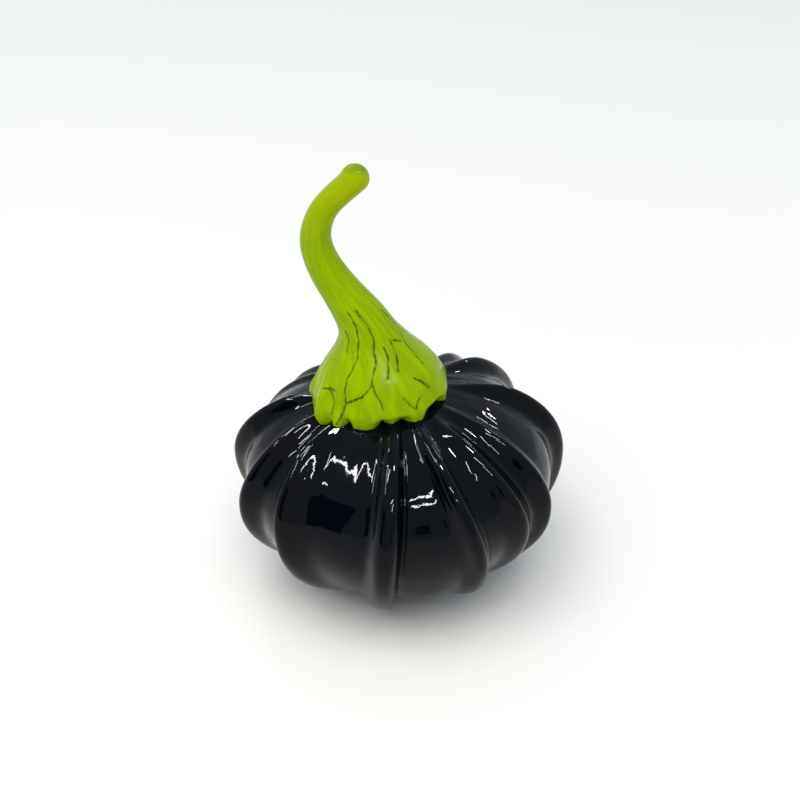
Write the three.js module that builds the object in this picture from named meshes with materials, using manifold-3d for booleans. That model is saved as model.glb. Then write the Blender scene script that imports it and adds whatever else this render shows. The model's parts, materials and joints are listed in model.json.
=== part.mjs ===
// Mini glass pumpkin: a blown body of black glass with irregular ribs, and a solid lime glass
// stem whose fluted collar was laid hot over the hole that the blowpipe left.
// Millimetres, +Z up. The origin is the middle of the flat spot that the pumpkin rests on.
// Azimuths are in degrees round the body's axis: 0 faces -Y, the front, and 90 faces +X.
import * as THREE from "three";
import { mergeVertices } from "three/addons/utils/BufferGeometryUtils.js";
import Module from "manifold-3d";

const wasm = await Module();
wasm.setup();

// Body, outside
const CREST_RADIUS = 40; // from the axis to a rib's crest at the widest line
const WIDEST_HEIGHT = 27.2; // the widest line, above the surface it rests on
const CROWN_RISE = 24.2; // from the widest line to the top of the crown
const UNDERSIDE_DROP = 31.0; // depth of the ellipse that the flat spot cuts off
const RIB_RISE = 3.3; // how far a crest stands out of its valleys
const RIB_HALF_WIDTH = 2.9;
const RIB_FADE_RADIUS = [10, 28]; // under the collar, the ribs rise between these radii
const UNDERSIDE_FULLNESS = 0.93; // 1 is an ellipse, and less is fuller
const REFERENCE_TILT = 60; // degrees above and below the widest line, where rib azimuths are given
const REFERENCE_REACH = [-1.15, 1.2]; // the ribs turn no further beyond these shares of it
const FOOT_TILTS = [5, 65]; // below the widest line, the ribs sink to their share at the foot
const CROWN_PINCH = 0.8; // above it, the flanks narrow with this power of the girth

// Each rib: its azimuth near the collar, at the widest line and near the foot; its rise and the
// width of its flanks, as seen from outside, against the common ones; the share of its rise left
// at the foot; and how blunt its crest is.
const RIBS = [
  { collar: -134, widest: -132, foot: -130, rise: 0.5, left: 0.9, right: 0.9, atFoot: 0.55, blunt: 2.2 },
  { collar: -124, widest: -116, foot: -112, rise: 0.35, left: 0.8, right: 0.8, atFoot: 0.55, blunt: 2.2 },
  { collar: -90, widest: -97, foot: -102, rise: 1.12, left: 1.1, right: 1.1, atFoot: 0.55, blunt: 2.2 },
  { collar: -65, widest: -66, foot: -79, rise: 1.1, left: 1.1, right: 1.1, atFoot: 0.55, blunt: 2.2 },
  { collar: -49, widest: -43, foot: -40, rise: 1.05, left: 0.9, right: 1.5, atFoot: 0.55, blunt: 2.2 },
  { collar: -3, widest: -4, foot: -9, rise: 1.1, left: 1.3, right: 1.0, atFoot: 0.8, blunt: 3.2 },
  { collar: 17, widest: 27, foot: 36, rise: 1.1, left: 0.9, right: 1.1, atFoot: 0.55, blunt: 2.4 },
  { collar: 36, widest: 48, foot: 52, rise: 0.75, left: 1.1, right: 1.1, atFoot: 0.6, blunt: 2.2 },
  { collar: 55, widest: 63, foot: 65, rise: 0.9, left: 1.0, right: 1.0, atFoot: 0.6, blunt: 2.2 },
  { collar: 99, widest: 99, foot: 91, rise: 1.3, left: 1.2, right: 1.2, atFoot: 0.55, blunt: 2.2 },
  { collar: 133, widest: 133, foot: 126, rise: 1.3, left: 1.2, right: 1.2, atFoot: 0.55, blunt: 2.2 },
  { collar: 149, widest: 154, foot: 154, rise: 0.7, left: 1.0, right: 1.0, atFoot: 0.55, blunt: 2.2 },
  { collar: 174, widest: 177, foot: 178, rise: 1.0, left: 1.1, right: 1.1, atFoot: 0.55, blunt: 2.2 },
  { collar: 200, widest: 203, foot: 205, rise: 1.0, left: 1.1, right: 1.1, atFoot: 0.55, blunt: 2.2 },
];

// Each swelling of the skin between ribs: azimuth and tilt, degrees, half-width of each, height
const SWELLS = [
  { azimuth: -27, tilt: -45, halfWidth: 15, halfTilt: 22, height: -0.8 },
  { azimuth: 14, tilt: -42, halfWidth: 12, halfTilt: 22, height: 0.5 },
  { azimuth: 48, tilt: -38, halfWidth: 16, halfTilt: 24, height: -1.4 },
];

// Body, inside
const WALL = 3.6;
const FLOOR_THICKNESS = 4.6;
const PIPE_HOLE_RADIUS = 5.2;
const CUT_OVERLAP = 5; // how far the hole's cutter stands over the crown

// Stem. Each station: the middle of its cross-section, and that section's radius.
const STEM_STATIONS = [
  { x: -4.0, y: 0.0, z: 43.0, radius: 15.4 },
  { x: -4.0, y: 0.0, z: 48.4, radius: 15.9 },
  { x: -3.9, y: 0.0, z: 51.2, radius: 15.15 },
  { x: -4.0, y: 0.0, z: 53.8, radius: 14.0 },
  { x: -4.1, y: 0.0, z: 56.6, radius: 12.4 },
  { x: -5.0, y: 0.0, z: 60.2, radius: 9.6 },
  { x: -6.7, y: 0.0, z: 64.2, radius: 7.0 },
  { x: -8.5, y: 0.3, z: 67.6, radius: 5.8 },
  { x: -11.1, y: 0.9, z: 71.2, radius: 4.9 },
  { x: -14.2, y: 1.6, z: 75.6, radius: 4.3 },
  { x: -16.8, y: 2.2, z: 80.2, radius: 3.9 },
  { x: -18.2, y: 2.4, z: 86.2, radius: 3.5 },
  { x: -16.2, y: 1.4, z: 93.2, radius: 3.05 },
  { x: -12.4, y: 0.0, z: 98.1, radius: 2.95 },
  { x: -10.4, y: -0.6, z: 100.2, radius: 3.0 },
  { x: -9.2, y: -1.1, z: 101.7, radius: 3.15 },
];
// The collar's toothed rim: azimuth round the stem's own middle, and distance from it.
const RIM = [
  [-90, 16.9],
  [-83, 16.1],
  [-76, 16.3],
  [-65, 16.9],
  [-56, 18.2],
  [-50, 18.1],
  [-45, 16.5],
  [-41, 16.6],
  [-37, 17.9],
  [-33, 17.4],
  [-29, 14.2],
  [-22, 16.0],
  [-12, 16.1],
  [-5, 15.5],
  [2, 13.0],
  [10, 15.3],
  [21, 13.4],
  [29, 16.4],
  [38, 15.8],
  [48, 13.8],
  [60, 12.5],
  [65, 13.6],
  [71, 15.7],
  [84, 15.0],
  [94, 13.7],
  [102, 15.6],
  [112, 16.6],
  [124, 15.0],
  [135, 16.6],
  [147, 14.7],
  [158, 16.4],
  [171, 14.5],
  [184, 16.6],
  [197, 14.5],
  [209, 16.6],
  [221, 14.7],
  [232, 16.4],
  [244, 14.7],
  [256, 16.4],
  [264, 15.6],
];
const COLLAR_RADIUS = 15.9; // the rim, if it had no teeth
const LEAN_HEIGHTS = [59, 75]; // cross-sections lie level below, and square to the line above
const STEM_TWIST = -35; // degrees, if it went on all along the stations
const RIM_STATION = 1.3; // the glass is twisted from here up
const NOTCH_HEIGHTS = [48.2, 51.2]; // a notch closes between these heights
const FLARE_HEIGHTS = [48, 59]; // and a tooth's flare ends between these
const GROOVE_SHARE = 0.05; // what is left of a notch above them, as a shallow groove
const GROOVE_HEIGHTS = [60, 97]; // the grooves fade out between these
const FUSE_GAP = 0.3; // left between the two glasses
const PLUG_DEPTH = 3; // how far the stem's glass sank into the pipe hole
const PLUG_CLEARANCE = 0.5; // all round it
const PLUG_ROUNDING = 1.5; // height of its round end
const PLUG_OVERLAP = 2; // how far it reaches into the stem

// Mesh density
const COLUMN_OFFSETS = [0, 2.2, 4.6, 8]; // degrees from a crest, where two crests are 22 apart
const BODY_RINGS = 24;
const STEM_RINGS = 31;
const TIP_RINGS = 4;

const radians = THREE.MathUtils.degToRad;
const { lerp, smoothstep } = THREE.MathUtils;

// A rib's azimuth at a tilt above or below the widest line, in degrees.
function ribAzimuth(rib, tilt) {
  const t = THREE.MathUtils.clamp(tilt / REFERENCE_TILT, ...REFERENCE_REACH);
  const lean = (rib.collar - rib.foot) / 2;
  const bow = (rib.collar + rib.foot) / 2 - rib.widest;
  return rib.widest + lean * t + bow * t * t;
}

// How far a rib stands out at an angle to the right of its crest, from 0 to about 1.
function ridge(rib, degreesRight, tilt) {
  const flank = degreesRight < 0 ? rib.left : rib.right;
  const girth = Math.max(Math.cos(radians(tilt)), 0.05);
  const pinch = tilt > 0 ? Math.pow(girth, CROWN_PINCH) : 1;
  const across = radians(Math.abs(degreesRight)) * CREST_RADIUS * girth;
  const off = across / (RIB_HALF_WIDTH * flank * pinch);
  const atFoot = lerp(1, rib.atFoot, smoothstep(-tilt, ...FOOT_TILTS));
  return rib.rise * atFoot * Math.exp(-Math.pow(off, rib.blunt));
}

// The swellings at an azimuth and tilt, against the ribs' rise.
function swell(azimuth, tilt) {
  return SWELLS.reduce((total, { azimuth: middle, tilt: level, halfWidth, halfTilt, height }) => {
    const off = THREE.MathUtils.euclideanModulo(azimuth - middle + 180, 360) - 180;
    const spread = (off / halfWidth) ** 2 + ((tilt - level) / halfTilt) ** 2;
    return total + (height / RIB_RISE) * Math.exp(-spread);
  }, 0);
}

// Share of the full rib rise at a tilt: less under the collar.
function ribFade(tilt) {
  const radius = CREST_RADIUS * Math.cos(radians(tilt));
  return tilt > 0 ? smoothstep(radius, ...RIB_FADE_RADIUS) : 1;
}

// Columns of the body's mesh follow the ribs: each is a place between one crest and the next.
function bodyColumns() {
  return RIBS.flatMap((rib, i) => {
    const next = RIBS[(i + 1) % RIBS.length];
    const turn = i + 1 === RIBS.length ? 360 : 0;
    const half = (next.widest + turn - rib.widest) / 2;
    const near = COLUMN_OFFSETS.map((d) => Math.min(d, (d / 11) * half) / (2 * half));
    const shares = [...near, 0.5, ...near.slice(1).reverse().map((s) => 1 - s)];
    return shares.map((share) => ({ rib, next, turn, share }));
  });
}

// A point of the body's outside. extra grows it, for cutting what lies on it.
function bodyPoint(column, tilt, extra = 0) {
  const from = ribAzimuth(column.rib, tilt);
  const to = ribAzimuth(column.next, tilt) + column.turn;
  const degrees = lerp(from, to, column.share);
  const rise =
    ridge(column.rib, degrees - from, tilt) +
    ridge(column.next, degrees - to, tilt) +
    swell(degrees, tilt);
  const scale = 1 + (RIB_RISE / CREST_RADIUS) * (rise * ribFade(tilt) - 1);
  const up = radians(tilt);
  const azimuth = radians(degrees);
  const fullness = tilt > 0 ? 1 : UNDERSIDE_FULLNESS;
  const radius = (CREST_RADIUS * scale + extra) * Math.pow(Math.cos(up), fullness);
  const reach = (tilt > 0 ? CROWN_RISE : UNDERSIDE_DROP) * scale + extra;
  return new THREE.Vector3(
    radius * Math.sin(azimuth),
    -radius * Math.cos(azimuth),
    WIDEST_HEIGHT + reach * Math.sin(up),
  );
}

// The tilt at which a column reaches the flat spot, found by halving.
function footTilt(column) {
  let low = -85;
  let high = -30;
  for (let i = 0; i < 30; i++) {
    const middle = (low + high) / 2;
    if (bodyPoint(column, middle).z < 0) low = middle;
    else high = middle;
  }
  return high;
}

// A closed geometry from rings of points, lowest ring first, with a middle point at each end.
function closedRings(rings, bottom, top) {
  const count = rings[0].length;
  const points = [bottom, ...rings.flat(), top];
  const index = [];
  for (let c = 0; c < count; c++) {
    const d = (c + 1) % count;
    index.push(0, 1 + d, 1 + c);
    for (let r = 0; r + 1 < rings.length; r++) {
      const low = 1 + r * count;
      const high = low + count;
      index.push(low + c, low + d, high + d, low + c, high + d, high + c);
    }
    const last = 1 + (rings.length - 1) * count;
    index.push(last + c, last + d, points.length - 1);
  }
  return new THREE.BufferGeometry().setFromPoints(points).setIndex(index);
}

function bodyGeometry(extra = 0) {
  const columns = bodyColumns();
  const feet = columns.map(footTilt);
  const topTilt = 88;
  const rings = [];
  for (let r = 0; r < BODY_RINGS; r++) {
    const share = r / (BODY_RINGS - 1);
    rings.push(
      columns.map((column, i) => bodyPoint(column, lerp(feet[i], topTilt, share), extra)),
    );
  }
  rings[0].forEach((point) => point.setZ(0));
  const top = new THREE.Vector3(0, 0, rings.at(-1)[0].z);
  return closedRings(rings, new THREE.Vector3(0, 0, 0), top);
}

// The hollow that the glassblower's breath left, with the pipe hole at its top.
function hollowGeometry() {
  const valley = 1 - RIB_RISE / CREST_RADIUS;
  const radius = CREST_RADIUS * valley - WALL;
  const rise = CROWN_RISE * valley - WALL;
  const drop = WIDEST_HEIGHT - FLOOR_THICKNESS;
  const holeTilt = Math.acos(PIPE_HOLE_RADIUS / radius);
  const steps = 16;
  const profile = [new THREE.Vector2(0, WIDEST_HEIGHT - drop)];
  for (let i = 1; i <= steps; i++) {
    const tilt = lerp(-Math.PI / 2, holeTilt, i / steps);
    const reach = tilt > 0 ? rise : drop;
    profile.push(
      new THREE.Vector2(radius * Math.cos(tilt), WIDEST_HEIGHT + reach * Math.sin(tilt)),
    );
  }
  const aboveCrown = WIDEST_HEIGHT + CROWN_RISE + CUT_OVERLAP;
  profile.push(new THREE.Vector2(PIPE_HOLE_RADIUS, aboveCrown));
  profile.push(new THREE.Vector2(0, aboveCrown));
  return new THREE.LatheGeometry(profile, 40).rotateX(Math.PI / 2);
}

// Columns of the stem's mesh: one at each point of the rim, and one between each two.
function stemColumns() {
  return RIM.flatMap(([azimuth, reach], i) => {
    const turn = i + 1 === RIM.length ? 360 : 0;
    const [nextAzimuth, nextReach] = RIM[(i + 1) % RIM.length];
    const between = { azimuth: (azimuth + nextAzimuth + turn) / 2, reach: (reach + nextReach) / 2 };
    return [{ azimuth, reach }, between];
  });
}

// The stem's middle line and its radius, as smooth curves through the stations.
const stemLine = new THREE.CatmullRomCurve3(
  STEM_STATIONS.map((s) => new THREE.Vector3(s.x, s.y, s.z)),
  false,
  "centripetal",
);
const stemRadii = new THREE.SplineCurve(
  STEM_STATIONS.map((s, i) => new THREE.Vector2(i, s.radius)),
);

function stemRing(columns, share) {
  const middle = stemLine.getPoint(share);
  const lean = smoothstep(middle.z, ...LEAN_HEIGHTS);
  const along = new THREE.Vector3(0, 0, 1).lerp(stemLine.getTangent(share), lean).normalize();
  const side = new THREE.Vector3(0, 1, 0).cross(along).normalize();
  const forward = new THREE.Vector3().crossVectors(side, along).normalize();
  const radius = stemRadii.getPoint(share).y;
  const notch = lerp(1, GROOVE_SHARE, smoothstep(middle.z, ...NOTCH_HEIGHTS));
  const flare = 1 - smoothstep(middle.z, ...FLARE_HEIGHTS);
  const fade = 1 - smoothstep(middle.z, ...GROOVE_HEIGHTS);
  const thin = Math.min(radius / COLLAR_RADIUS, 1) * fade;
  const last = STEM_STATIONS.length - 1;
  const twist = (STEM_TWIST * Math.max(share * last - RIM_STATION, 0)) / last;
  return columns.map(({ azimuth, reach: rimReach }) => {
    const short = COLLAR_RADIUS - rimReach;
    const reach = radius - short * (short > 0 ? notch : flare) * thin;
    const turn = radians(azimuth + twist);
    return middle
      .clone()
      .addScaledVector(side, reach * Math.sin(turn))
      .addScaledVector(forward, reach * Math.cos(turn));
  });
}

function stemGeometry() {
  const columns = stemColumns();
  const rings = [];
  for (let r = 0; r < STEM_RINGS; r++) rings.push(stemRing(columns, r / (STEM_RINGS - 1)));
  // The tip is a round end on the last ring.
  const end = rings.at(-1);
  const middle = stemLine.getPoint(1);
  const along = stemLine.getTangent(1);
  const radius = STEM_STATIONS.at(-1).radius;
  for (let r = 1; r < TIP_RINGS; r++) {
    const turn = (r / TIP_RINGS) * (Math.PI / 2);
    rings.push(
      end.map((point) =>
        middle
          .clone()
          .lerp(point, Math.cos(turn))
          .addScaledVector(along, radius * Math.sin(turn)),
      ),
    );
  }
  const tip = middle.clone().addScaledVector(along, radius);
  return closedRings(rings, stemLine.getPoint(0), tip);
}

// What sank into the pipe hole: a short plug with a round end, joined to the stem from below.
function plugGeometry() {
  const radius = PIPE_HOLE_RADIUS - PLUG_CLEARANCE;
  const crown = WIDEST_HEIGHT + CROWN_RISE;
  const bottom = crown - RIB_RISE - PLUG_DEPTH;
  const profile = [new THREE.Vector2(0, bottom)];
  for (let i = 1; i <= 4; i++) {
    const turn = (i / 4) * (Math.PI / 2);
    profile.push(
      new THREE.Vector2(radius * Math.sin(turn), bottom + PLUG_ROUNDING * (1 - Math.cos(turn))),
    );
  }
  profile.push(new THREE.Vector2(radius, crown + PLUG_OVERLAP));
  profile.push(new THREE.Vector2(0, crown + PLUG_OVERLAP));
  return new THREE.LatheGeometry(profile, 24).rotateX(Math.PI / 2);
}

// Between three.js geometries and manifold-3d solids
function solid(geometry) {
  const bare = geometry.clone();
  bare.deleteAttribute("normal");
  bare.deleteAttribute("uv");
  const merged = mergeVertices(bare, 1e-4);
  return new wasm.Manifold(
    new wasm.Mesh({
      numProp: 3,
      vertProperties: new Float32Array(merged.attributes.position.array),
      triVerts: new Uint32Array(merged.index.array),
    }),
  );
}

function geometryOf(manifold) {
  const mesh = manifold.getMesh();
  return new THREE.BufferGeometry()
    .setAttribute("position", new THREE.BufferAttribute(mesh.vertProperties, 3))
    .setIndex(new THREE.BufferAttribute(mesh.triVerts, 1));
}

function glass(name, manifold, color, roughness) {
  const material = new THREE.MeshStandardMaterial({ color, roughness, metalness: 0 });
  const geometry = geometryOf(manifold);
  geometry.computeVertexNormals();
  const mesh = new THREE.Mesh(geometry, material);
  mesh.name = name;
  return mesh;
}

const body = solid(bodyGeometry()).subtract(solid(hollowGeometry()));
const stem = solid(stemGeometry())
  .subtract(solid(bodyGeometry(FUSE_GAP)))
  .add(solid(plugGeometry()));

const pumpkin = new THREE.Group();
pumpkin.add(glass("body_glass", body, 0x0b0d12, 0.04));
pumpkin.add(glass("stem_glass", stem, 0x8fb800, 0.12));

export default pumpkin;
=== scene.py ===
"""Looks for the mini glass pumpkin: a blown body of black glass and a solid stem of lime glass."""

import json
import math

import bpy
import numpy as np
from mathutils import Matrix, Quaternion, Vector, noise

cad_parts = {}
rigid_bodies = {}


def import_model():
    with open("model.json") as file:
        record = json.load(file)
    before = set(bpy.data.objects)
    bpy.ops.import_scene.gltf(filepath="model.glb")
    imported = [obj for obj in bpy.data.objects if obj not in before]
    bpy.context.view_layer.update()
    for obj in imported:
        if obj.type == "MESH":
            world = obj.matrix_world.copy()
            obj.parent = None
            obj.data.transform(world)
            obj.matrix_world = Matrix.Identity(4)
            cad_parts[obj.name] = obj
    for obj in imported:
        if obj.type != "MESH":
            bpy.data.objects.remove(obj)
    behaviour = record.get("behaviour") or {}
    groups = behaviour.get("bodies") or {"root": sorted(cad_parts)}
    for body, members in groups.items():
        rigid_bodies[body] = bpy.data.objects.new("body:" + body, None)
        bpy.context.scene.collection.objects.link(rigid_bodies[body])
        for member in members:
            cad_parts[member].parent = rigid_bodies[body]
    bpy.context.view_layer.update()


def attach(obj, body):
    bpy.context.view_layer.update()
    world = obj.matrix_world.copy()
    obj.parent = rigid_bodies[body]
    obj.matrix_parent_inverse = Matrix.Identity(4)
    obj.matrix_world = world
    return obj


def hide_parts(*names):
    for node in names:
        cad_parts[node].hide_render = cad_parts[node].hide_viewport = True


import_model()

# Sizes are in millimetres, which MM turns to metres, and angles are in degrees. Azimuth 0 faces the
# front (-Y), and 90 faces +X. Tilt is up from the widest line.
MM = 0.001

# Body
CREST_RADIUS = 40.0
WIDEST_HEIGHT = 27.2
CROWN_RISE = 24.2
UNDERSIDE_DROP = 31.0
RIB_RISE = 3.3
RIB_HALF_WIDTH = 2.9
RIB_FADE_RADIUS = (10.0, 28.0)
UNDERSIDE_FULLNESS = 0.93
REFERENCE_TILT = 60.0
REFERENCE_REACH = (-1.15, 1.2)
FOOT_TILTS = (5.0, 65.0)
CROWN_PINCH = 0.8
LEAST_GIRTH = 0.05

# Each rib: azimuth near the collar, at the widest line and near the foot; rise; width of its
# left and right flanks, as seen from outside; the share of its rise left at the foot; and how
# blunt its crest is.
RIBS = np.array(
    [
        (-134, -132, -130, 0.50, 0.9, 0.9, 0.55, 2.2),
        (-124, -116, -112, 0.35, 0.8, 0.8, 0.55, 2.2),
        (-90, -97, -102, 1.12, 1.1, 1.1, 0.55, 2.2),
        (-65, -66, -79, 1.10, 1.1, 1.1, 0.55, 2.2),
        (-49, -43, -40, 1.05, 0.9, 1.5, 0.55, 2.2),
        (-3, -4, -9, 1.10, 1.3, 1.0, 0.8, 3.2),
        (17, 27, 36, 1.10, 0.9, 1.1, 0.55, 2.4),
        (36, 48, 52, 0.75, 1.1, 1.1, 0.6, 2.2),
        (55, 63, 65, 0.90, 1.0, 1.0, 0.6, 2.2),
        (99, 99, 91, 1.30, 1.2, 1.2, 0.55, 2.2),
        (133, 133, 126, 1.30, 1.2, 1.2, 0.55, 2.2),
        (149, 154, 154, 0.70, 1.0, 1.0, 0.55, 2.2),
        (174, 177, 178, 1.00, 1.1, 1.1, 0.55, 2.2),
        (200, 203, 205, 1.00, 1.1, 1.1, 0.55, 2.2),
    ],
    dtype=float,
)
COLLAR, WIDEST, FOOT, RISE, LEFT, RIGHT, AT_FOOT, BLUNT = range(8)

# Each crease pressed in beside a rib: the rib's number, how far right of its crest, half-width,
# depth
CREASES = (
    (5, 3.5, 0.8, 0.9),
    (6, 3.6, 0.8, 0.5),
    (4, -3.2, 0.9, 0.6),
)
# Each swelling of the skin between ribs, or hollow where its height is negative: azimuth, tilt,
# half-width of each, height
SWELLS = (
    (-27, -45, 15, 22, -0.8),
    (14, -42, 12, 22, 0.5),
    (48, -38, 16, 24, -1.4),
)
# Slight waves of the blown skin: height, wavelength
SKIN_WAVES = ((0.12, 13.0), (0.04, 5.0))
# Fine wrinkles gathered round the collar, which deepen between two tilts
WRINKLE_DEPTH = 0.07
WRINKLE_ANGLE = 4.5
WRINKLE_LENGTH = 16.0
WRINKLE_TILTS = (12.0, 48.0)
WRINKLE_SEED = 3

# Mesh of the body. A crown step brings a point of the collar closer to the black glass.
BODY_COLUMNS_PER_RIB = 32
BODY_CUTS = 61
END_TILT = 89.0
CROWN_STEPS = 8
SMOOTH_ANGLE = 60.0

# Stem: the middle of each cross-section, and its radius
STEM_STATIONS = np.array(
    [
        (-4.0, 0.0, 43.0, 15.4),
        (-4.0, 0.0, 48.4, 15.9),
        (-3.9, 0.0, 51.2, 15.15),
        (-4.0, 0.0, 53.8, 14.0),
        (-4.1, 0.0, 56.6, 12.4),
        (-5.0, 0.0, 60.2, 9.6),
        (-6.7, 0.0, 64.2, 7.0),
        (-8.5, 0.3, 67.6, 5.8),
        (-11.1, 0.9, 71.2, 4.9),
        (-14.2, 1.6, 75.6, 4.3),
        (-16.8, 2.2, 80.2, 3.9),
        (-18.2, 2.4, 86.2, 3.5),
        (-16.2, 1.4, 93.2, 3.05),
        (-12.4, 0.0, 98.1, 2.95),
        (-10.4, -0.6, 100.2, 3.0),
        (-9.2, -1.1, 101.7, 3.15),
    ]
)
LAST_STATION = len(STEM_STATIONS) - 1.0
# The collar's toothed rim: azimuth round the stem, and distance from its middle line
RIM = (
    (-90, 16.9),
    (-83, 16.1),
    (-76, 16.3),
    (-65, 16.9),
    (-56, 18.2),
    (-50, 18.1),
    (-45, 16.5),
    (-41, 16.6),
    (-37, 17.9),
    (-33, 17.4),
    (-29, 14.2),
    (-22, 16.0),
    (-12, 16.1),
    (-5, 15.5),
    (2, 13.0),
    (10, 15.3),
    (21, 13.4),
    (29, 16.4),
    (38, 15.8),
    (48, 13.8),
    (60, 12.5),
    (65, 13.6),
    (71, 15.7),
    (84, 15.0),
    (94, 12.8),
    (102, 15.6),
    (112, 16.6),
    (124, 15.0),
    (135, 16.6),
    (147, 14.7),
    (158, 16.4),
    (171, 14.5),
    (184, 16.6),
    (197, 14.5),
    (209, 16.6),
    (221, 14.7),
    (232, 16.4),
    (244, 14.7),
    (256, 16.4),
    (264, 15.6),
)
RIM_ROUNDING = 0.8  # degrees to each side
COLLAR_RADIUS = 15.9
LIP_RADIUS = 0.6
STEM_TWIST = -35.0  # degrees, if it went on all along the stations
RIM_STATION = 1.3  # the glass is twisted from here up
LEAN_HEIGHTS = (59.0, 75.0)  # cross-sections lie level below, and square to the line above
NOTCH_CLOSES = (0.2, 2.4)  # a notch closes between these heights over the rim
NOTCH_LEFT = 0.05  # what is left of it further up, as a shallow groove
TOOTH_FLARE = 12.0  # and a tooth's flare is gone this high over the rim
GROOVE_HEIGHTS = (60.0, 97.0)  # the grooves fade out between these
SUNK = 0.4  # how far the collar's underside is sunk into the black glass

# Mesh of the stem: rows under the collar, up the skirt, along the shaft and round the tip. Rows
# stand closer at the start of the skirt and of the shaft.
STEM_COLUMNS = 520
STEM_CUTS = 91
UNDER_ROWS = 5
SKIRT_ROWS = 60
TIP_ROWS = 12
SKIRT_TOP = 57.0
SKIRT_CROWDING = 1.4
SHAFT_CROWDING = 1.3
# Where the collar meets the black glass is found in steps, from a first guess along the stations.
SEAM_GUESS = 1.2
SEAM_STEPS = 6
SEAM_HEIGHT = 0.5

# Thin dark streaks in the lime glass, and wide faint lines of painted shade along the shallow
# grooves up the shaft. Each has a strength, a half-width and points: azimuth round the stem, and
# height.
LINE_WANDER = 0.4
LINE_UNEVENNESS = 0.7
FLOW_LENGTH = 40.0  # the height that changes the strands as much as one radian round the stem
STREAK_AND_GROOVE_SHADE_PATHS = (
    (0.9, 0.24, ((10, 71), (6, 68), (-8, 64), (-22, 60), (-31, 57), (-30, 52), (-34, 48))),
    (1.0, 0.26, ((31, 70), (29, 68), (25, 65), (12, 62), (-2, 57), (-13, 54), (-30, 52))),
    (1.0, 0.28, ((-2, 57), (3, 54), (4, 52))),
    (0.9, 0.24, ((-24, 67), (-30, 64), (-35, 62))),
    (1.0, 0.24, ((53, 64), (47, 62), (33, 59))),
    (1.0, 0.30, ((51, 64), (72, 63))),
    (1.0, 0.24, ((35, 63), (29, 61), (17, 58))),
    (0.9, 0.24, ((88, 68), (93, 65), (77, 62), (70, 58))),
    (1.0, 0.30, ((47, 57), (52, 56), (56, 54))),
    (0.9, 0.24, ((26, 54), (29, 52), (33, 51), (42, 53))),
    (1.0, 0.28, ((-58, 53), (-43, 54))),
    (0.9, 0.24, ((-49, 54), (-40, 52), (-44, 49))),
    (0.9, 0.24, ((122, 59), (105, 57), (100, 55))),
    (0.9, 0.24, ((-70, 64), (-84, 59), (-100, 55))),
    (1.0, 0.26, ((130, 66), (122, 61), (128, 57), (120, 53))),
    (0.9, 0.24, ((150, 62), (146, 57), (155, 54))),
    (1.0, 0.26, ((178, 67), (170, 62), (176, 57), (168, 53))),
    (0.9, 0.22, ((170, 57), (186, 54))),
    (1.0, 0.26, ((205, 65), (200, 60), (208, 56), (202, 52))),
    (0.9, 0.24, ((232, 66), (226, 61), (233, 57))),
    (0.9, 0.24, ((226, 61), (216, 57))),
    # The last four: wide, faint lines of painted shade where the shallow grooves up the shaft are
    # shaded.
    (0.30, 0.6, ((67, 92), (45, 85), (35, 82), (38, 76), (12, 71))),
    (0.28, 0.6, ((38, 76), (38, 72), (32, 70))),
    (0.28, 0.6, ((-120, 84), (-130, 76), (-140, 70), (-150, 64))),
    (0.28, 0.6, ((150, 82), (150, 76), (140, 70))),
)


def smooth(x, low, high):
    t = np.clip((x - low) / (high - low), 0.0, 1.0)
    return t * t * (3.0 - 2.0 * t)


def mix(a, b, share):
    return a + (b - a) * share


def rib_azimuth(rib, tilt):
    t = np.clip(tilt / REFERENCE_TILT, *REFERENCE_REACH)
    lean = (rib[..., COLLAR] - rib[..., FOOT]) / 2.0
    bow = (rib[..., COLLAR] + rib[..., FOOT]) / 2.0 - rib[..., WIDEST]
    return rib[..., WIDEST] + lean * t + bow * t * t


def across(degrees_right, tilt):
    """Millimetres to the right of a crest, made larger where the ribs are gathered in."""
    girth = np.maximum(np.cos(np.radians(tilt)), LEAST_GIRTH)
    pinch = np.where(tilt > 0, girth**CROWN_PINCH, 1.0)
    return np.radians(degrees_right) * CREST_RADIUS * girth / pinch


def degrees_apart(azimuth, other):
    return (azimuth - other + 180.0) % 360.0 - 180.0


def ridge(rib, degrees_right, tilt):
    """How far a rib stands out at an angle to the right of its crest."""
    flank = np.where(degrees_right < 0, rib[..., LEFT], rib[..., RIGHT])
    off = np.abs(across(degrees_right, tilt)) / (RIB_HALF_WIDTH * flank)
    at_foot = mix(1.0, rib[..., AT_FOOT], smooth(-tilt, *FOOT_TILTS))
    return rib[..., RISE] * at_foot * np.exp(-(off ** rib[..., BLUNT]))


def crease(offset, half_width, depth, degrees_right, tilt):
    """How far the crease beside a rib goes in, as a share of the ribs' rise."""
    off = (across(degrees_right, tilt) - offset) / half_width
    return depth / RIB_RISE * np.exp(-(off**2))


def body_scale(rise, tilt):
    """The body's size at a rise. The ribs fade into the crown's smooth middle, under the collar."""
    radius = CREST_RADIUS * np.cos(np.radians(tilt))
    fade = np.where(tilt > 0, smooth(radius, *RIB_FADE_RADIUS), 1.0)
    return 1.0 + RIB_RISE / CREST_RADIUS * (rise * fade - 1.0)


def body_point(azimuth, rise, tilt):
    """A point of the body's skin."""
    scale = body_scale(rise, tilt)
    up = np.radians(tilt)
    turn = np.radians(azimuth)
    fullness = np.where(tilt > 0, 1.0, UNDERSIDE_FULLNESS)
    radius = CREST_RADIUS * scale * np.maximum(np.cos(up), 0.0) ** fullness
    reach = np.where(tilt > 0, CROWN_RISE, UNDERSIDE_DROP) * scale
    return np.stack(
        [radius * np.sin(turn), -radius * np.cos(turn), WIDEST_HEIGHT + reach * np.sin(up)], axis=-1
    )


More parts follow.
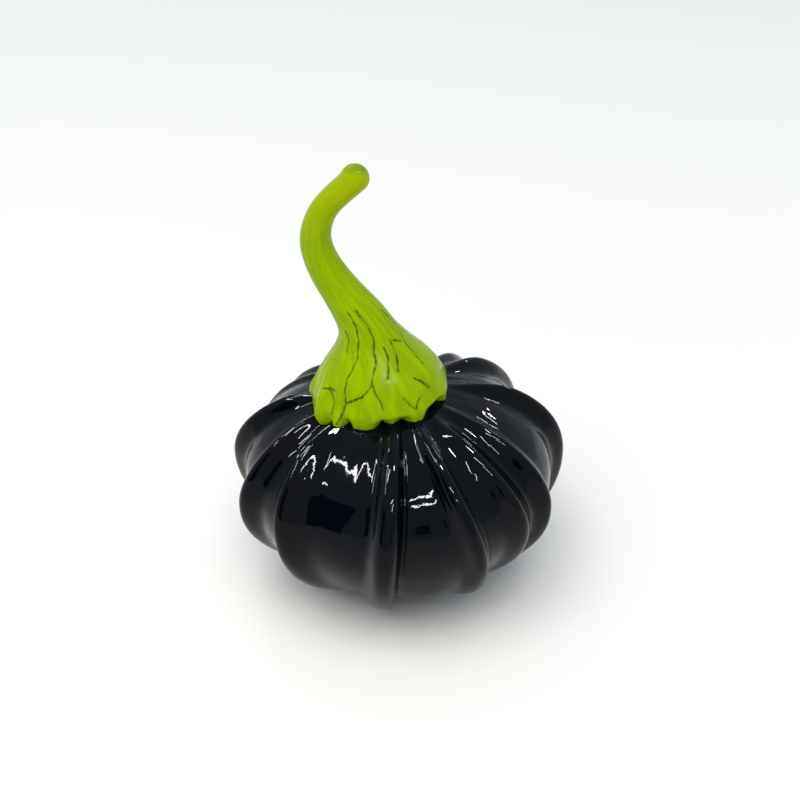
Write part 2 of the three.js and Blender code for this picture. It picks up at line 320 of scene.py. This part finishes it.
def rise_at(azimuth, tilt):
    """The rise at any azimuth, with every rib, crease and swelling counted."""
    total = np.zeros(np.broadcast(azimuth, tilt).shape)
    for rib in RIBS:
        total += ridge(rib, degrees_apart(azimuth, rib_azimuth(rib, tilt)), tilt)
    for number, offset, half_width, depth in CREASES:
        off = degrees_apart(azimuth, rib_azimuth(RIBS[number], tilt))
        total -= crease(offset, half_width, depth, off, tilt)
    for middle, middle_tilt, half_width, half_tilt, height in SWELLS:
        off = degrees_apart(azimuth, middle)
        spread = (off / half_width) ** 2 + ((tilt - middle_tilt) / half_tilt) ** 2
        total += height / RIB_RISE * np.exp(-spread)
    return total


def crown_height(x, y):
    """Height of the black glass under a point of the collar."""
    radius = np.hypot(x, y)
    azimuth = np.degrees(np.arctan2(x, -y))
    tilt = np.full(radius.shape, REFERENCE_TILT)
    for _ in range(CROWN_STEPS):
        rise = rise_at(azimuth, tilt)
        girth = radius / (CREST_RADIUS * body_scale(rise, tilt))
        tilt = np.degrees(np.arccos(np.clip(girth, 0.0, 1.0)))
    return body_point(azimuth, rise, tilt)[..., 2]


def read_points(piece):
    points = np.empty(len(piece.data.vertices) * 3)
    piece.data.vertices.foreach_get("co", points)
    return points.reshape(-1, 3)


def write_points(piece, points):
    piece.data.vertices.foreach_set("co", np.ascontiguousarray(points).ravel())
    piece.data.update()


def start_cylinder(name, columns, cuts):
    """A gather of glass on the pipe: a cylinder cut into rings, to be drawn out into shape.

    It ends with twice the columns and (cuts + 1) * 2 rows of faces.
    """
    bpy.ops.object.select_all(action="DESELECT")
    bpy.ops.mesh.primitive_cylinder_add(
        vertices=columns, radius=1.0, depth=2.0, end_fill_type="TRIFAN", calc_uvs=False
    )
    piece = bpy.context.object
    piece.name = name
    piece.data.name = name
    bpy.ops.object.mode_set(mode="EDIT")
    bpy.ops.mesh.select_mode(type="EDGE")
    bpy.ops.mesh.select_all(action="DESELECT")
    bpy.ops.object.mode_set(mode="OBJECT")
    for edge in piece.data.edges:
        low, high = (piece.data.vertices[i].co.z for i in edge.vertices)
        edge.select = abs(high - low) > 1.0
    bpy.ops.object.mode_set(mode="EDIT")
    bpy.ops.mesh.subdivide(number_cuts=cuts)
    bpy.ops.mesh.subdivide(number_cuts=1)
    bpy.ops.object.mode_set(mode="OBJECT")
    return piece


def places_on_cylinder(piece):
    """Each vertex's azimuth, 0 to 360, its height, 0 to 1, and whether it is an end's middle."""
    points = read_points(piece)
    azimuth = np.degrees(np.arctan2(points[:, 0], -points[:, 1])) % 360.0
    middle = np.hypot(points[:, 0], points[:, 1]) < 0.5
    return azimuth, (points[:, 2] + 1.0) / 2.0, middle


def ripple(points, wavelength, seed):
    """Smooth random waves, from -1 to 1, the same each run."""
    shift = Vector((seed * 13.7, seed * 7.1, seed * 3.3))
    return np.array([noise.noise(Vector(p) / wavelength + shift) for p in points])


def follow_ribs(around, tilt):
    """Azimuth on the body of a place round the cylinder, where each rib has an equal share."""
    count = len(RIBS)
    place = around / 360.0 * count
    before = np.floor(place + 1e-6)
    index = before.astype(int) % count
    after = (index + 1) % count
    from_azimuth = rib_azimuth(RIBS[index], tilt)
    to_azimuth = rib_azimuth(RIBS[after], tilt) + np.where(after == 0, 360.0, 0.0)
    return mix(from_azimuth, to_azimuth, np.clip(place - before, 0.0, 1.0))


def skin_waves(points, azimuth, tilt):
    """What breath and tools left on the skin: slight waves, and wrinkles near the collar."""
    waves = sum(
        height * ripple(points, length, seed)
        for seed, (height, length) in enumerate(SKIN_WAVES, start=1)
    )
    turn = np.radians(azimuth)
    gathered = np.degrees(1.0 / WRINKLE_ANGLE) * np.stack([np.sin(turn), np.cos(turn)], axis=-1)
    drawn = np.column_stack([gathered, np.radians(tilt) * CREST_RADIUS / WRINKLE_LENGTH])
    return waves + WRINKLE_DEPTH * smooth(tilt, *WRINKLE_TILTS) * ripple(drawn, 1.0, WRINKLE_SEED)


def make_body():
    body = start_cylinder("blown_body", len(RIBS) * BODY_COLUMNS_PER_RIB, BODY_CUTS)
    around, climb, middle = places_on_cylinder(body)
    tilt = np.where(middle, 90.0, END_TILT) * (2.0 * climb - 1.0)
    azimuth = follow_ribs(around, tilt)
    points = body_point(azimuth, rise_at(azimuth, tilt), tilt)
    outward = points - np.array([0.0, 0.0, WIDEST_HEIGHT])
    outward /= np.linalg.norm(outward, axis=1, keepdims=True)
    points += outward * skin_waves(points, azimuth, tilt)[:, None]
    write_points(body, points * MM)
    flatten_foot()
    shade(body)
    return body


def flatten_foot():
    """Grinds the flat spot that the pumpkin rests on. The body is still the active object."""
    bpy.ops.object.mode_set(mode="EDIT")
    bpy.ops.mesh.select_all(action="SELECT")
    bpy.ops.mesh.bisect(
        plane_co=(0, 0, 0), plane_no=(0, 0, 1), clear_inner=True, use_fill=True, threshold=1e-6
    )
    bpy.ops.object.mode_set(mode="OBJECT")


def shade(piece):
    bpy.ops.object.select_all(action="DESELECT")
    piece.select_set(True)
    bpy.context.view_layer.objects.active = piece
    bpy.ops.object.shade_smooth_by_angle(angle=math.radians(SMOOTH_ANGLE))


def through(stations, t):
    """A curve that bends evenly through the stations, at t from 0 to the last station's number."""
    count = len(stations)
    ties = 4.0 * np.eye(count) + np.eye(count, k=1) + np.eye(count, k=-1)
    ties[0] = ties[-1] = 0.0
    ties[0, 0] = ties[-1, -1] = 1.0
    bends = np.zeros(stations.shape)
    bends[1:-1] = 6.0 * (stations[:-2] - 2.0 * stations[1:-1] + stations[2:])
    bends = np.linalg.solve(ties, bends)
    i = np.clip(np.floor(t).astype(int), 0, count - 2)
    f = (t - i)[..., None]
    b = 1.0 - f
    straight = b * stations[i] + f * stations[i + 1]
    return straight + ((b**3 - b) * bends[i] + (f**3 - f) * bends[i + 1]) / 6.0


def station_at_height(height):
    """Where along the stations the middle line reaches a height."""
    t = np.linspace(0.0, LAST_STATION, 2000)
    return np.interp(height, through(STEM_STATIONS, t)[:, 2], t)


def dent(azimuth):
    """How far the collar's rim falls short of a round one, with its corners rounded off."""
    spread = np.linspace(-RIM_ROUNDING, RIM_ROUNDING, 9)
    turns, reaches = np.transpose(RIM)
    around = (azimuth[..., None] + spread - turns[0]) % 360.0 + turns[0]
    reach = np.interp(around, [*turns, turns[0] + 360.0], [*reaches, reaches[0]])
    return COLLAR_RADIUS - reach.mean(-1)


def unit(vectors):
    return vectors / np.linalg.norm(vectors, axis=-1, keepdims=True)


def stem_direction(low, high):
    """The middle line's direction between two places along the stations."""
    line = through(STEM_STATIONS, high)[..., :3] - through(STEM_STATIONS, low)[..., :3]
    return unit(line)


def stem_reach(azimuth, radius, height, over_rim):
    """From the middle line to the skin, with the teeth, the notches and the collar's round lip."""
    short = dent(azimuth)
    notch = 1.0 - (1.0 - NOTCH_LEFT) * smooth(over_rim, *NOTCH_CLOSES)
    flare = 1.0 - smooth(over_rim, 0.0, TOOTH_FLARE)
    fade = 1.0 - smooth(height, *GROOVE_HEIGHTS)
    groove = short * np.where(short > 0.0, notch, flare) * fade
    near_lip = np.clip(1.0 - over_rim / LIP_RADIUS, 0.0, 1.0)
    lip = LIP_RADIUS * (1.0 - np.sqrt(1.0 - near_lip**2))
    return radius - groove * np.minimum(radius / COLLAR_RADIUS, 1.0) - lip


def stem_point(azimuth, t, over_rim):
    """A point of the stem's skin: azimuth round its middle line, t along its stations."""
    station = through(STEM_STATIONS, t)
    step = 0.02
    along = stem_direction(np.maximum(t - step, 0.0), np.minimum(t + step, LAST_STATION))
    lean = smooth(station[..., 2], *LEAN_HEIGHTS)[..., None]
    along = unit(mix(np.array([0.0, 0.0, 1.0]), along, lean))
    side = unit(np.cross(np.array([0.0, 1.0, 0.0]), along))
    forward = np.cross(side, along)
    reach = stem_reach(azimuth, station[..., 3], station[..., 2], over_rim)
    twist = STEM_TWIST * np.maximum(t - RIM_STATION, 0.0) / LAST_STATION
    turn = np.radians(azimuth + twist)
    return (
        station[..., :3]
        + side * (reach * np.sin(turn))[..., None]
        + forward * (reach * np.cos(turn))[..., None]
    )


def rim_station():
    """Where along the stations each column of the collar meets the black glass."""
    azimuth = np.arange(STEM_COLUMNS) * 360.0 / STEM_COLUMNS
    t = np.full(azimuth.shape, SEAM_GUESS)
    for _ in range(SEAM_STEPS):
        point = stem_point(azimuth, t, np.full(azimuth.shape, SEAM_HEIGHT))
        height = crown_height(point[..., 0], point[..., 1])
        t = station_at_height(height)
    return t


def mark_streaks_and_groove_shade(stem, points, around, height, turn_length):
    """Marks how strongly each vertex takes a dark streak or painted groove shade, by its distance
    to the nearest line.

    turn_length is the length of a degree round the stem, at each vertex.
    """
    shade_of = np.zeros(len(around))
    around = around + LINE_WANDER * ripple(points, 3.0, 4) / turn_length
    height = height + LINE_WANDER * ripple(points, 3.0, 5)
    thickness = 1.0 + LINE_UNEVENNESS * ripple(points, 2.2, 6)
    for strength, half_width, path in STREAK_AND_GROOVE_SHADE_PATHS:
        for start, end in zip(path[:-1], path[1:]):
            x = degrees_apart(around, start[0]) * turn_length
            y = height - start[1]
            dx = degrees_apart(end[0], start[0]) * turn_length
            dy = end[1] - start[1]
            share = np.clip((x * dx + y * dy) / (dx * dx + dy * dy), 0.0, 1.0)
            gap = np.hypot(x - share * dx, y - share * dy)
            line = strength * np.exp(-((gap / (half_width * thickness)) ** 2))
            shade_of = np.maximum(shade_of, line)
    streak_and_groove_shade = stem.data.attributes.new("streak_and_groove_shade", "FLOAT", "POINT")
    streak_and_groove_shade.data.foreach_set("value", shade_of)


def mark_flow(stem, around, height):
    """Marks coordinates that run with the glass: round the stem, and slowly along it."""
    flow = stem.data.attributes.new("flow", "FLOAT_VECTOR", "POINT")
    turn = np.radians(around)
    drawn = np.column_stack([np.sin(turn), np.cos(turn), height / FLOW_LENGTH])
    flow.data.foreach_set("vector", drawn.ravel())


def stem_rows(row, rows, rim):
    """Where along the stations each row lies: up the skirt from the rim, and on along the shaft."""
    skirt_top = station_at_height(SKIRT_TOP)
    skirt_end = UNDER_ROWS + SKIRT_ROWS
    climb = np.clip((row - UNDER_ROWS) / SKIRT_ROWS, 0.0, 1.0) ** SKIRT_CROWDING
    rise = np.clip((row - skirt_end) / (rows - TIP_ROWS - skirt_end), 0.0, 1.0) ** SHAFT_CROWDING
    skirt = rim + (skirt_top - rim) * climb
    return np.where(row > skirt_end, skirt_top + (LAST_STATION - skirt_top) * rise, skirt)


def lay_underside(points, row, middle, rim):
    """The collar's underside, which follows the black glass in from the rim."""
    under = row < UNDER_ROWS
    inward = np.where(middle, 0.0, (row + 1.0) / (UNDER_ROWS + 1.0))[under]
    heart = through(STEM_STATIONS, rim)[under, :2]
    points[under, :2] = heart + (points[under, :2] - heart) * inward[:, None]
    points[under, 2] = crown_height(*points[under, :2].T) - SUNK


def round_tip(points, row, rows, middle):
    """The round end of the stem, on the last cross-section."""
    tip = row > rows - TIP_ROWS
    bend = np.clip((row[tip] - rows + TIP_ROWS) / (TIP_ROWS + 1.0), 0.0, 1.0)
    bend = np.where(middle[tip], 1.0, bend) * math.pi / 2.0
    heart, radius = STEM_STATIONS[-1, :3], STEM_STATIONS[-1, 3]
    along = stem_direction(np.array(LAST_STATION - 0.05), np.array(LAST_STATION))
    around_heart = (points[tip] - heart) * np.cos(bend)[:, None]
    points[tip] = heart + around_heart + along * (radius * np.sin(bend))[:, None]


def make_stem():
    stem = start_cylinder("drawn_stem", STEM_COLUMNS // 2, STEM_CUTS)
    rows = (STEM_CUTS + 1) * 2
    around, height, middle = places_on_cylinder(stem)
    row = np.rint(height * rows)
    column = np.rint(around / 360.0 * STEM_COLUMNS).astype(int) % STEM_COLUMNS
    rim = rim_station()[column]
    t = stem_rows(row, rows, rim)
    station = through(STEM_STATIONS, t)
    points = stem_point(around, t, station[:, 2] - through(STEM_STATIONS, rim)[:, 2])
    lay_underside(points, row, middle, rim)
    round_tip(points, row, rows, middle)
    write_points(stem, points * MM)
    mark_streaks_and_groove_shade(stem, points, around, station[:, 2], np.radians(1.0) * station[:, 3])
    mark_flow(stem, around, station[:, 2])
    shade(stem)
    return stem


def principled(name, color, roughness):
    material = bpy.data.materials.new(name)
    material.use_nodes = True
    shader = material.node_tree.nodes["Principled BSDF"]
    shader.inputs["Base Color"].default_value = (*color, 1.0)
    shader.inputs["Roughness"].default_value = roughness
    return material, shader


# A Mix node has a set of sockets for each kind of data. These are the numbers of the colour ones.
MIX_COLOR_INPUTS = (0, 6, 7)
MIX_COLOR_OUTPUT = 2


class Nodes:
    """Short names for the few shader nodes that the materials need. Their lengths are in metres."""

    def __init__(self, material):
        self.tree = material.node_tree
        self.objects = self.add("ShaderNodeTexCoord").outputs["Object"]

    def add(self, kind, **settings):
        node = self.tree.nodes.new(kind)
        for name, value in settings.items():
            setattr(node, name, value)
        return node

    def join(self, socket, value):
        if isinstance(value, bpy.types.NodeSocket):
            self.tree.links.new(value, socket)
        else:
            socket.default_value = value

    def fill(self, node, **inputs):
        for name, value in inputs.items():
            self.join(node.inputs[name], value)

    def attribute(self, name, output):
        return self.add("ShaderNodeAttribute", attribute_name=name).outputs[output]

    def height(self):
        split = self.add("ShaderNodeSeparateXYZ")
        self.fill(split, Vector=self.objects)
        return split.outputs["Z"]

    def noise(self, vector, scale, detail=2.0, roughness=0.5):
        node = self.add("ShaderNodeTexNoise")
        self.fill(node, Vector=vector, Scale=scale, Detail=detail, Roughness=roughness)
        return node.outputs["Fac"]

    def span(self, value, start, end, low=0.0, high=1.0):
        """Goes smoothly from low to high as the value goes from start to end."""
        node = self.add("ShaderNodeMapRange", interpolation_type="SMOOTHSTEP")
        self.fill(node, **{"Value": value, "From Min": start, "From Max": end})
        self.fill(node, **{"To Min": low, "To Max": high})
        return node.outputs["Result"]

    def math(self, operation, a, b):
        node = self.add("ShaderNodeMath", operation=operation)
        self.join(node.inputs[0], a)
        self.join(node.inputs[1], b)
        return node.outputs["Value"]

    def blend(self, share, a, b):
        node = self.add("ShaderNodeMix", data_type="RGBA")
        for number, value in zip(MIX_COLOR_INPUTS, (share, a, b)):
            self.join(node.inputs[number], value)
        return node.outputs[MIX_COLOR_OUTPUT]

    def bump(self, height, distance, under=None):
        node = self.add("ShaderNodeBump")
        self.fill(node, Height=height, Distance=distance, Strength=1.0)
        if under is not None:
            self.fill(node, Normal=under)
        return node.outputs["Normal"]


BLACK = (0.0010, 0.0020, 0.0042, 1.0)
BLACK_WARM = (0.0030, 0.0028, 0.0026, 1.0)


def black_glass():
    """Fire-polished glass with faint smudges, a skin that ripples more near the collar, and a
    ground foot.
    """
    material, shader = principled("black_glass", BLACK[:3], 0.03)
    shader.inputs["Specular IOR Level"].default_value = 0.12
    n = Nodes(material)
    z = n.height()
    color = n.blend(n.span(n.noise(n.objects, 60.0), 0.52, 0.75), BLACK, BLACK_WARM)
    smudges = n.span(n.noise(n.objects, 45.0, 6.0, 0.7), 0.5, 0.8, 0.02, 0.09)
    ground = n.span(z, 0.0002, 0.0006, 0.5, 0.0)
    upper = n.span(z, 0.024, 0.046, 0.35, 1.0)
    skin = n.bump(n.math("MULTIPLY", n.noise(n.objects, 210.0, 1.0), upper), 0.00018)
    fine = n.bump(n.noise(n.objects, 700.0, 2.0), 0.00002, skin)
    roughness = n.math("MAXIMUM", smudges, ground)
    n.fill(shader, **{"Base Color": color, "Roughness": roughness, "Normal": fine})
    return material


LIME = (0.225, 0.350, 0.0, 1.0)
LIME_LIGHT = (0.290, 0.430, 0.0, 1.0)
LIME_TIP_AND_PAINTED_LIGHT = (0.330, 0.420, 0.0, 1.0)
PAINTED_END_SHADE = (0.200, 0.300, 0.0, 1.0)
STREAK_AND_GROOVE_SHADE_COLOR = (0.045, 0.080, 0.002, 1.0)
WHITE = (0.86, 0.86, 0.84)
FLOOR_SIZE = 8.0  # metres


def lime_glass():
    """Lime glass in strands of two tones, with dark streaks and wide faint lines of painted shade
    along the shallow grooves. It turns paler, yellower and glossier towards the tip, partly a paler
    lime and partly painted light for light shining through the thin end, and darker again at the
    very end, a painted shade for the thin end's dark rim.
    """
    material, shader = principled("lime_glass", LIME[:3], 0.16)
    shader.inputs["Specular IOR Level"].default_value = 0.04
    shader.inputs["Subsurface Weight"].default_value = 0.2
    shader.inputs["Subsurface Radius"].default_value = (0.6, 1.0, 0.1)
    shader.inputs["Subsurface Scale"].default_value = 0.002
    n = Nodes(material)
    z = n.height()
    strands = n.noise(n.attribute("flow", "Vector"), 7.0, 3.0)
    glass = n.blend(n.span(strands, 0.35, 0.68), LIME, LIME_LIGHT)
    # Paler, yellower lime towards the tip: partly the glass's own paler tone, partly painted light
    # for light shining through the thin end.
    glass = n.blend(n.span(z, 0.084, 0.101), glass, LIME_TIP_AND_PAINTED_LIGHT)
    # Painted shade at the very end, standing in for the dark rim that the thin translucent end
    # shows.
    glass = n.blend(n.span(z, 0.1028, 0.1046), glass, PAINTED_END_SHADE)
    grain = n.span(n.noise(n.objects, 1100.0), 0.3, 0.7, 0.6, 1.25)
    # Dark streaks in the glass, and the faint painted shade along the grooves, laid over the glass
    # colour.
    streak_and_groove_shade = n.span(n.math("MULTIPLY", n.attribute("streak_and_groove_shade", "Fac"), grain), 0.15, 0.95)
    n.fill(shader, **{"Base Color": n.blend(streak_and_groove_shade, glass, STREAK_AND_GROOVE_SHADE_COLOR)})
    lines = n.bump(strands, 0.0003)
    normal = n.bump(n.math("SUBTRACT", 1.0, n.attribute("streak_and_groove_shade", "Fac")), 0.00008, lines)
    n.fill(shader, **{"Normal": normal, "Roughness": n.span(z, 0.088, 0.098, 0.16, 0.07)})
    return material


def make_floor():
    bpy.ops.object.select_all(action="DESELECT")
    bpy.ops.mesh.primitive_plane_add(size=FLOOR_SIZE, location=(0, 0, 0))
    floor = bpy.context.object
    floor.name = "floor"
    board, _ = principled("white_board", WHITE, 0.5)
    floor.data.materials.append(board)


def stand(thing, azimuth, elevation, distance, turn=0.0):
    """Stands a lamp or a card at a distance from the object, facing it."""
    up, around = math.radians(elevation), math.radians(azimuth)
    away = Vector((math.sin(around) * math.cos(up), -math.cos(around) * math.cos(up), math.sin(up)))
    thing.location = away * distance + Vector((0, 0, AIM_HEIGHT))
    facing = away.to_track_quat("Z", "Y")
    thing.rotation_euler = (facing @ Quaternion((0, 0, 1), math.radians(turn))).to_euler()


def dark_card(name, azimuth, elevation, width, height):
    """A card that only the gloss sees, as a dark patch in the black glass."""
    bpy.ops.object.select_all(action="DESELECT")
    bpy.ops.mesh.primitive_plane_add(size=1.0)
    card = bpy.context.object
    card.name = name
    card.scale = (width, height, 1.0)
    stand(card, azimuth, elevation, CARD_DISTANCE)
    material, shader = principled("dark_card", (0.0, 0.0, 0.0), 1.0)
    shader.inputs["Specular IOR Level"].default_value = 0.0
    card.data.materials.append(material)
    card.visible_camera = False
    card.visible_diffuse = False
    card.visible_shadow = False
    card.visible_transmission = False


def area_light(name, azimuth, elevation, distance, size, power, turn=0.0):
    """A lamp that faces the object."""
    data = bpy.data.lights.new(name, "AREA")
    data.shape = "RECTANGLE"
    data.size = size[0]
    data.size_y = size[1]
    data.energy = power
    lamp = bpy.data.objects.new(name, data)
    bpy.context.collection.objects.link(lamp)
    stand(lamp, azimuth, elevation, distance, turn)
    return lamp


# The set, in metres. Each dark card: azimuth and elevation, degrees; width and height.
CARDS = (
    (-50, 18, 0.34, 0.50),
    (16, 14, 0.12, 0.16),
)
CARD_DISTANCE = 0.7
AIM_HEIGHT = 0.03
# Each gleam, a lamp that only the gloss sees: azimuth and elevation, degrees; length and width;
# turn about its own middle, degrees; radiance
GLEAMS = (
    (14, 54, 0.36, 0.025, 4, 110),
    (24, 46, 0.30, 0.018, -3, 110),
    (-84, 62, 0.36, 0.03, 0, 110),
    (-66, 70, 0.26, 0.025, 90, 110),
    (-104, 54, 0.26, 0.025, 90, 110),
    (-84, 46, 0.30, 0.02, 0, 110),
    (140, 30, 0.16, 0.012, 0, 110),
    (-150, 48, 0.40, 0.025, 0, 110),
    (85, 73, 0.14, 0.05, 30, 420),
)
GLEAM_DISTANCE = 0.9
SKY = (0.84, 0.91, 1.0, 1.0)
SKY_STRENGTH = 0.72
OVERHEAD_COLOR = (1.0, 0.94, 0.84)


def light_the_set():
    """A pale sky and one soft lamp light the set. Gleams and dark cards show in the gloss alone."""
    bpy.context.scene.view_settings.view_transform = "Standard"
    world = bpy.data.worlds.new("studio")
    bpy.context.scene.world = world
    world.use_nodes = True
    background = world.node_tree.nodes["Background"]
    background.inputs["Color"].default_value = SKY
    background.inputs["Strength"].default_value = SKY_STRENGTH
    overhead = area_light("overhead", -25, 66, 1.3, (1.5, 1.2), 15.4)
    overhead.data.color = OVERHEAD_COLOR
    overhead.visible_glossy = False
    for number, (azimuth, elevation, length, width, turn, radiance) in enumerate(GLEAMS):
        power = radiance * length * width * math.pi
        gleam = area_light(
            f"gleam_{number}", azimuth, elevation, GLEAM_DISTANCE, (length, width), power, turn
        )
        gleam.visible_diffuse = False
    for number, card in enumerate(CARDS):
        dark_card(f"card_{number}", *card)


# Camera: where it stands against the body's widest line, and where that line's middle falls in
# the 800 x 800 picture
PICTURE = 800.0
CAMERA_ELEVATION = 35.0
CAMERA_DISTANCE = 333.0
FOCAL_PIXELS = 1375.0
TARGET_PIXEL = (398.0, 463.0)
SENSOR = 36.0


def place_camera():
    data = bpy.data.cameras.new("camera")
    camera = bpy.data.objects.new("camera", data)
    bpy.context.collection.objects.link(camera)
    data.sensor_width = SENSOR
    data.lens = SENSOR * FOCAL_PIXELS / PICTURE
    data.clip_start = 0.01
    up = math.radians(CAMERA_ELEVATION)
    camera.location = (
        0.0,
        -CAMERA_DISTANCE * MM * math.cos(up),
        (WIDEST_HEIGHT + CAMERA_DISTANCE * math.sin(up)) * MM,
    )
    pitch = math.atan((TARGET_PIXEL[1] - PICTURE / 2) / FOCAL_PIXELS)
    yaw = math.atan((TARGET_PIXEL[0] - PICTURE / 2) / FOCAL_PIXELS)
    camera.rotation_euler = (math.pi / 2 - up + pitch, 0.0, yaw)
    bpy.context.scene.camera = camera


def dress(piece, node, material):
    """Gives a piece its finish and puts it in the place of the solid that it shows."""
    piece.data.materials.append(material)
    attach(piece, "root")
    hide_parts(node)


place_camera()
light_the_set()
make_floor()
dress(make_body(), "body_glass", black_glass())
dress(make_stem(), "stem_glass", lime_glass())
